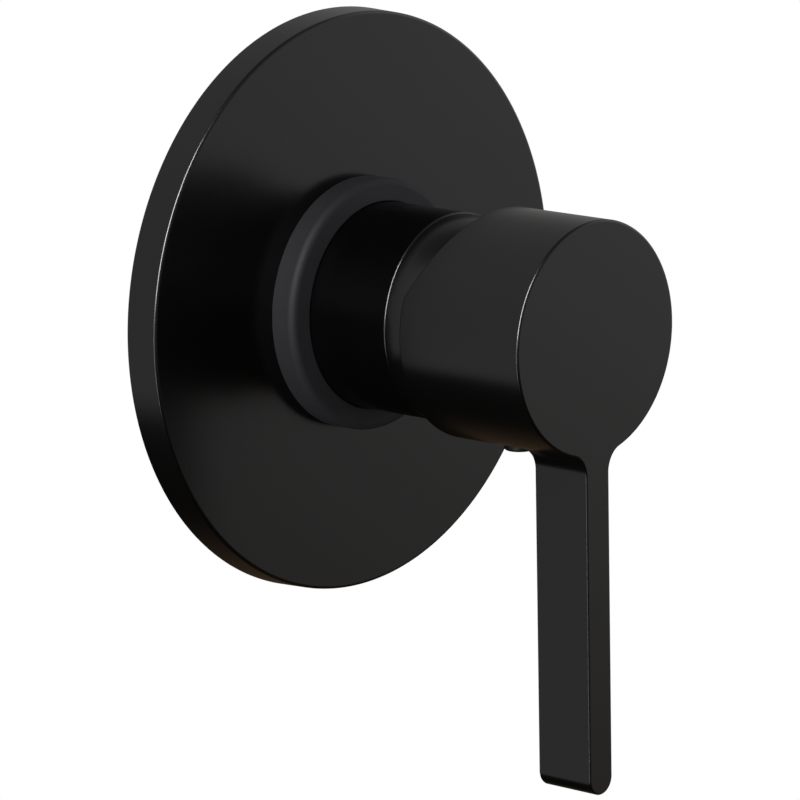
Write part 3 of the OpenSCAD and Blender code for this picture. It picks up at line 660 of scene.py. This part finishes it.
def buildThreadTree():  # turns a plain bore wall into a screw thread
    tree = bpy.data.node_groups.new("threadForm", "GeometryNodeTree")
    face = tree.interface
    face.new_socket("Geometry", in_out="INPUT", socket_type="NodeSocketGeometry")
    for name in ("Pitch", "Crest radius", "Depth", "Wall radius"):
        face.new_socket(name, in_out="INPUT", socket_type="NodeSocketFloat")
    face.new_socket("Finish", in_out="INPUT", socket_type="NodeSocketMaterial")
    face.new_socket("Geometry", in_out="OUTPUT", socket_type="NodeSocketGeometry")
    given = addNode(tree, "NodeGroupInput").outputs
    place = addNode(tree, "ShaderNodeSeparateXYZ", {"Vector": addNode(tree, "GeometryNodeInputPosition")})
    values = {"x": place.outputs["X"], "y": place.outputs["Y"], "z": place.outputs["Z"],
        "pitch": given["Pitch"], "crest": given["Crest radius"], "depth": given["Depth"]}
    for name, operation, *terms in threadSteps:
        sockets = {i: values.get(term, term) for i, term in enumerate(terms)}
        values[name] = addNode(tree, "ShaderNodeMath", sockets, operation=operation)
    moved = addNode(tree, "ShaderNodeCombineXYZ", {
        "X": values["newX"], "Y": values["newY"], "Z": values["z"]})
    wall = addNode(tree, "FunctionNodeCompare", {
        0: values["radius"], 1: given["Wall radius"]}, operation="LESS_THAN")
    threaded = addNode(tree, "GeometryNodeSetPosition", {
        "Geometry": given["Geometry"], "Position": moved, "Selection": wall})
    real = addNode(tree, "GeometryNodeRealizeInstances", {"Geometry": threaded})
    painted = addNode(tree, "GeometryNodeSetMaterial", {"Geometry": real, "Material": given["Finish"]})
    addNode(tree, "NodeGroupOutput", {"Geometry": painted})
    return tree


threadTree = buildThreadTree()


def pipeThread(reach, place, finish):  # the threaded wall of one arm, a thin lining of its bore
    s = bodySizes
    low, high = reach - s["boreDepth"] + s["threadGap"], reach - s["leadIn"]
    outward, inward, margin = s["lining"]
    outer, inner = s["rootR"] + outward, s["crestR"] + inward
    count = round((high - low) / s["pitch"] * s["turnSteps"])
    outline = [Vector((outer, low)), Vector((outer, high))] + [
        Vector((inner, high + (low - high) * k / count)) for k in range(count + 1)]
    piece = makeTurned("pipeThread", outline, finish, Matrix.Identity(4), 96)
    modifier = piece.modifiers.new("thread", "NODES")
    modifier.node_group = threadTree
    setInputs(modifier, {"Pitch": s["pitch"] * mm, "Crest radius": s["crestR"] * mm,
        "Depth": (s["rootR"] - s["crestR"]) * mm, "Wall radius": (inner + margin) * mm, "Finish": finish})
    plainMesh(piece)
    piece.data.transform(place)
    mesh = piece.data
    bpy.data.objects.remove(piece)
    return mesh


def valveBody():
    s = bodySizes
    grooves = []
    for low in s["grooves"]:
        for r, h in ((s["barrelR"], low + s["grooveW"]), (s["grooveR"], low + s["grooveW"]),
                (s["grooveR"], low), (s["barrelR"], low)):
            grooves.append((r, h, s["grooveEdge"]))
    outline = roundCorners([
        (0, s["floor"], 0), (s["chamberR"], s["floor"], s["floorEdge"]), (s["chamberR"], s["nutFrom"], 0),
        (s["nutR"], s["nutFrom"], 0), (s["nutR"], s["barrelFront"], s["mouthEdge"]),
        (s["barrelR"], s["barrelFront"], s["mouthEdge"])] + grooves + [
        (s["barrelR"], s["flangeT"], s["flangeRoot"]), (s["flangeR"], s["flangeT"], s["flangeEdge"]),
        (s["flangeR"], 0, s["flangeEdge"]), (s["barrelR"], 0, s["backRoot"]),
        (s["barrelR"], -s["back"], s["backEdge"]), (0, -s["back"], 0)], steps=5)
    piece = makeTurned("valveBody", outline, rawBrass, steps=128)
    at = Matrix.Translation((0, armAt * mm, 0))
    arms = (
        (at @ Matrix.Rotation(math.radians(90), 4, "Y"), s["inletReach"], inletBrass),
        (at @ Matrix.Rotation(math.radians(-90), 4, "Y"), s["inletReach"], inletBrass),
        (at, s["outletReach"], outletBrass), (at @ downward, s["outletReach"], outletBrass))

    def loose(name, corners, place, steps=96):  # a turned form as a bare mesh, to join or cut with
        made = makeTurned(name, roundCorners(corners), rawBrass, place, steps)
        mesh = made.data
        bpy.data.objects.remove(made)
        return mesh

    half, proud = s["seamT"] / 2, s["seamProud"]
    seamR = s["armR"] + proud
    solids = []
    for place, reach, finish in arms:
        solids.append(loose("arm", [
            (0, s["armFrom"], 0), (s["armR"], s["armFrom"], 0),
            (s["armR"], reach, s["armEdge"]), (0, reach, 0)], place))
    across, along = s["inletReach"] - s["seamShort"], s["outletReach"] - s["seamShort"]
    low, high = armAt - half, armAt + half
    solids.append(boxMesh("seam", (-across, low, -seamR), (across, high, seamR)))
    solids.append(boxMesh("seam", (-seamR, low, -along), (seamR, high, along)))
    combine(piece, solids, "UNION")
    cuts = []
    past, into = s["past"], s["into"]
    mouthR = s["rootR"] + s["leadIn"]
    for place, reach, finish in arms:
        end = reach - s["boreDepth"]
        cuts.append(loose("bore", [
            (0, end, 0), (s["rootR"], end, s["floorEdge"]), (s["rootR"], reach - s["leadIn"], 0),
            (mouthR, reach, 0), (mouthR + past, reach + past, 0), (0, reach + past, 0)], place))
    x, z, inletR, inletAt = s["inletWay"]
    up, outletR, outletAt = s["outletWay"]
    for side in (-1, 1):
        column = Matrix.Translation((side * x * mm, 0, z * mm)) @ outOfWall
        cuts.append(rodMesh("inletWay", inletR, -inletAt, s["floor"] + past, column, 40))
        way = Matrix.Translation((side * x * mm, inletAt * mm, z * mm)) @ Matrix.Rotation(
            math.radians(90 * side), 4, "Y")
        length = s["inletReach"] - s["boreDepth"] - x + into
        cuts.append(rodMesh("crossWay", s["wayR"], 0, length, way, 48))
        index = Matrix.Translation((side * s["indexAt"][0] * mm, 0, s["indexAt"][1] * mm)) @ outOfWall
        low, high = s["floor"] - s["indexDepth"], s["floor"] + into
        cuts.append(rodMesh("index", s["indexR"], low, high, index, 32))
    cuts.append(rodMesh("outletWay", outletR, -outletAt, s["floor"] + past,
        Matrix.Translation((0, 0, up * mm)) @ outOfWall, 40))
    reach = s["outletReach"] - s["boreDepth"] + into
    cuts.append(rodMesh("outletCross", s["wayR"], -reach, reach,
        Matrix.Translation((0, outletAt * mm, 0)), 48))
    for k in range(4):
        a = math.radians(45 + 90 * k)
        hole = Matrix.Translation((s["screwAt"] * math.cos(a) * mm, 0, s["screwAt"] * math.sin(a) * mm))
        cuts.append(rodMesh("screwHole", s["screwR"], -past, s["flangeT"] + past, hole @ outOfWall, 48))
    combine(piece, cuts, "DIFFERENCE")
    mesh = piece.data
    mesh.materials.clear()
    for finish in (rawBrass, inletBrass, outletBrass, frontBrass):
        mesh.materials.append(finish)
    for face in mesh.polygons:  # what the lathe has cut: the arms' ends and bores, and all in front
        c = face.center / mm
        across = math.hypot(c.y - armAt, c.z if abs(c.x) > abs(c.z) else c.x)
        if c.y < -s["frontCut"]:
            face.material_index = 3
        elif max(abs(c.x), abs(c.z)) > s["cutFrom"] and across < s["armR"] - s["cutEdge"]:
            face.material_index = 1 if abs(c.x) > abs(c.z) else 2
        else:
            face.material_index = 0
    work = bmesh.new()
    work.from_mesh(mesh)
    for place, reach, finish in arms:
        thread = pipeThread(reach, place, finish)
        for face in thread.polygons:
            face.material_index = 1 if finish == inletBrass else 2
        work.from_mesh(thread)
    work.to_mesh(mesh)
    work.free()
    tidyMesh(mesh)
    settle(piece, "valve", "raw_brass", "mixer_body")


blankSizes = {
    "washer": 1.5, "head": 3.0, "threadR": 9.27, "depth": 9.0, "key": 10.0, "keyDepth": 6.0, "past": 1.0,
    "leadEdge": 0.8, "threadRoot": 0.1, "seatEdge": 0.2, "edge": 0.7,
}


def blankingPlug():
    s = blankSizes
    top = s["washer"] + s["head"]
    headR = bodySizes["armR"]
    outline = roundCorners([
        (0, -s["depth"], 0), (s["threadR"], -s["depth"], s["leadEdge"]),
        (s["threadR"], s["washer"], s["threadRoot"]), (headR, s["washer"], s["seatEdge"]),
        (headR, top, s["edge"]), (0, top, 0)])
    place = Matrix.Translation((0, armAt * mm, -bodySizes["outletReach"] * mm)) @ downward
    piece = makeTurned("blankingPlug", outline, outletBrass, place, 96)
    across = math.radians(30)  # from a flat of the hexagon to its corner
    keyR = s["key"] / 2 / math.cos(across)
    turned = place @ Matrix.Rotation(across, 4, "Z")
    key = rodMesh("key", keyR, -s["keyDepth"], top + s["past"], turned, 6)
    combine(piece, [key], "DIFFERENCE")
    tidyMesh(piece.data)
    settle(piece, "valve", "raw_brass", "blanking_plug")


def squareSpindle():  # its CAD form as one closed skin, with the doubled point at the ball's pole merged
    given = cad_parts["spindle"].data
    mesh = bpy.data.meshes.new("squareSpindle")
    mesh.from_pydata([p.co for p in given.vertices], [], [list(face.vertices) for face in given.polygons])
    mesh.materials.append(steel)
    tidyMesh(mesh)
    settle(newPiece("squareSpindle", mesh), "lever", "screw_steel", "spindle")


coverPlate()
rubberCollar()
barrelSleeve()
domedCap()
leverHandle()
screwPlug()
print("front pieces made")
valveBody()
blankingPlug()
squareSpindle()
print("valve body made")


# CAD nodes that keep their own form get their real materials

nodeFinishes = {
    "plate_seal": foam, "sleeve_rings": blackRubber, "port_seals": blackRubber, "disc_seals": blackRubber,
    "spindle_ring": blackRubber, "cartridge_nut": frontBrass, "plug_washer": fibre,
    "cartridge_housing": whiteAcetal, "cartridge_base": whiteAcetal, "disc_carrier": whiteAcetal,
    "spindle_guide": greyAcetal,
    "limit_ring": redAcetal, "fixed_disc": alumina, "moving_disc": alumina,
    "pivot_pin": steel, "grub_screw": steel,
}
for nodeName, finish in nodeFinishes.items():
    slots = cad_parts[nodeName].data.materials
    slots.clear()
    slots.append(finish)
print("inner pieces finished")


# Camera, at the photograph's viewing angle

cameraView = {
    "place": (-871.98, -811.08, 236.59),   # mm
    "turn": -47.725, "rise": 12.25, "roll": -1.047,   # degrees
    "lens": 265.2, "sensor": 36,           # mm
    "clip": (0.05, 50),                    # m
}


def makeCamera():
    turn, rise, roll = (math.radians(cameraView[k]) for k in ("turn", "rise", "roll"))
    back = Vector((math.sin(turn) * math.cos(rise), -math.cos(turn) * math.cos(rise), math.sin(rise)))
    right = Vector((math.cos(turn), math.sin(turn), 0))
    up = back.cross(right)
    across = right * math.cos(roll) + up * math.sin(roll)
    upward = up * math.cos(roll) - right * math.sin(roll)
    camera = bpy.data.objects.new("camera", bpy.data.cameras.new("camera"))
    bpy.context.scene.collection.objects.link(camera)
    camera.matrix_world = Matrix.Translation(Vector(cameraView["place"]) * mm) @ Matrix(
        (across, upward, back)).transposed().to_4x4()
    camera.data.lens, camera.data.sensor_width = cameraView["lens"], cameraView["sensor"]
    camera.data.clip_start, camera.data.clip_end = cameraView["clip"]
    bpy.context.scene.camera = camera


# Studio: a pale sky and a dark ground round the object, and a white backdrop that only the camera sees

studioSizes = {
    "ramps": {  # the part of a direction that each follows, where it starts and where it ends
        "behind": ("Y", -0.4, 0.3, "SMOOTHSTEP"), "left": ("X", 0.4, -0.3, "LINEAR"),
        "horizon": ("Z", -0.40, -0.06, "SMOOTHSTEP"),
        "leftHorizon": ("Z", -0.56, -0.44, "SMOOTHSTEP"),   # behind on the left the light reaches lower
        "frontRight": ("X", 0.62, 0.80, "LINEAR"), "backRight": ("X", -0.1, 0.6, "SMOOTHSTEP"),
        "overhead": ("Z", 0.72, 0.95, "SMOOTHSTEP"), "groundRight": ("X", -0.1, 0.5, "SMOOTHSTEP")},
    "colours": {  # the ramp that mixes each, and its two ends
        "frontSky": ("frontRight", "#8f8f8f", "#ffffff"),   # it grows brighter to the right
        "backSky": ("backRight", "#aeaead", "#878786"),     # and darker behind on the right
        "sides": ("behind", "frontSky", "backSky"),
        "sky": ("overhead", "sides", "#5c5c5c"),
        "ground": ("groundRight", "#161411", "#483a2c")},   # near black, brown on the right
    "backdropShare": 0.02,                                  # how much of the backdrop glossy faces show
}


def makeWorld():
    world = bpy.data.worlds.new("studio")
    bpy.context.scene.world = world
    world.use_nodes = True
    tree = world.node_tree
    tree.nodes.clear()
    way = addNode(tree, "ShaderNodeTexCoord").outputs["Generated"]
    parts = addNode(tree, "ShaderNodeSeparateXYZ", {"Vector": way}).outputs
    ramps, colours = {}, {}
    for name, (part, low, high, kind) in studioSizes["ramps"].items():  # 0 below low, 1 above high
        ramps[name] = addNode(tree, "ShaderNodeMapRange", {
            "Value": parts[part], "From Min": low, "From Max": high}, interpolation_type=kind)
    for name, (ramp, *ends) in studioSizes["colours"].items():
        first, second = (colours[end] if end in colours else linearColour(end) for end in ends)
        colours[name] = addNode(tree, "ShaderNodeMix", {
            "Factor": ramps[ramp], 6: first, 7: second}, data_type="RGBA").outputs[2]
    backLeft = addNode(tree, "ShaderNodeMath", {0: ramps["behind"], 1: ramps["left"]}, operation="MULTIPLY")
    above = addNode(tree, "ShaderNodeMix", {
        "Factor": backLeft, 2: ramps["horizon"], 3: ramps["leftHorizon"]})
    ground = addNode(tree, "ShaderNodeBackground", {"Color": colours["ground"], "Strength": 1.0})
    sky = addNode(tree, "ShaderNodeBackground", {"Color": colours["sky"], "Strength": 1.0})
    white = addNode(tree, "ShaderNodeBackground", {"Color": (1, 1, 1, 1), "Strength": 1.0})
    studio = addNode(tree, "ShaderNodeMixShader", {0: above, 1: ground, 2: sky})
    ray = addNode(tree, "ShaderNodeLightPath").outputs
    mirrored = addNode(tree, "ShaderNodeMath", {
        0: ray["Is Glossy Ray"], 1: ray["Is Transmission Ray"]}, operation="MAXIMUM")
    share = addNode(tree, "ShaderNodeMath", {
        0: mirrored, 1: studioSizes["backdropShare"]}, operation="MULTIPLY")
    shareAbove = addNode(tree, "ShaderNodeMath", {0: share, 1: above}, operation="MULTIPLY")
    seen = addNode(tree, "ShaderNodeMath", {0: shareAbove, 1: ray["Is Camera Ray"]}, operation="MAXIMUM")
    mixed = addNode(tree, "ShaderNodeMixShader", {0: seen, 1: studio, 2: white})
    addNode(tree, "ShaderNodeOutputWorld", {"Surface": mixed})


lampRows = (  # the strips on the left draw the thin light lines along the edges
    # name, place in m, size across and up in m, power in W, what it is for
    ("leftStrip", (-1.20, -0.55, 0.76), (0.42, 1.5), 66.0, "gloss"),
    ("lowStrip", (-1.43, -0.15, -0.30), (0.30, 1.0), 5.0, "all"),
    ("floorLight", (-0.25, -0.35, 0.90), (0.55, 0.55), 7.0, "floor"),
)


def makeLamps():
    underLight = bpy.data.collections.new("underLight")
    underLight.objects.link(bpy.data.objects["floor"])
    for name, place, size, power, use in lampRows:
        light = bpy.data.lights.new(name, "AREA")
        light.shape, light.size, light.size_y, light.energy = "RECTANGLE", size[0], size[1], power
        lamp = bpy.data.objects.new(name, light)
        bpy.context.scene.collection.objects.link(lamp)
        lamp.location = place
        lamp.rotation_euler = (-Vector(place)).to_track_quat("-Z", "Y").to_euler()
        lamp.visible_diffuse = use != "gloss"
        if use == "floor":  # it draws the object's soft shadow on the floor, and lights nothing else
            lamp.light_linking.receiver_collection = underLight


floorSizes = {
    "at": -0.25, "radius": 0.45,   # m
    "pale": 0.3,                   # how far the floor is already white before its rim
    "rim": (0.62, 0.98),           # from where to where it melts into the white, as shares of the radius
}
floorLook = {  # matt board: a warm off-white
    "colour": ("#e6e5e2", "#ecebe8"), "roughness": 0.85, "gloss": 0.2,
    "patterns": {"tone": (40.0, 2.0, 0.5)},
}


def makeFloor():  # a pale disc below the object, whose underside hides nothing
    s = floorSizes
    material = makeMaterial("paleFloor", floorLook)
    tree = material.node_tree
    point = addNode(tree, "ShaderNodeTexCoord").outputs["Object"]
    reach = addNode(tree, "ShaderNodeVectorMath", {0: point}, operation="LENGTH").outputs["Value"]
    low, high = (s["radius"] * share for share in s["rim"])
    rim = addNode(tree, "ShaderNodeMapRange", {
        "Value": reach, "From Min": low, "From Max": high, "To Min": s["pale"]},
        interpolation_type="SMOOTHSTEP")
    white = addNode(tree, "ShaderNodeEmission", {"Color": (1, 1, 1, 1), "Strength": 1.0})
    mixed = addNode(tree, "ShaderNodeMixShader", {0: rim, 1: tree.nodes["Principled BSDF"], 2: white})
    under = addNode(tree, "ShaderNodeNewGeometry").outputs["Backfacing"]
    clear = addNode(tree, "ShaderNodeBsdfTransparent")
    oneSided = addNode(tree, "ShaderNodeMixShader", {0: under, 1: mixed, 2: clear})
    tree.links.new(oneSided.outputs[0], tree.nodes["Material Output"].inputs["Surface"])
    work = bmesh.new()
    bmesh.ops.create_circle(work, cap_ends=True, segments=128, radius=s["radius"])
    mesh = bpy.data.meshes.new("floor")
    work.to_mesh(mesh)
    work.free()
    mesh.materials.append(material)
    floor = newPiece("floor", mesh)
    floor.location.z = s["at"]
    floor.visible_glossy = floor.visible_diffuse = False


makeCamera()
makeWorld()
makeFloor()
makeLamps()
bpy.context.scene.view_settings.view_transform = "Standard"
print("studio made")
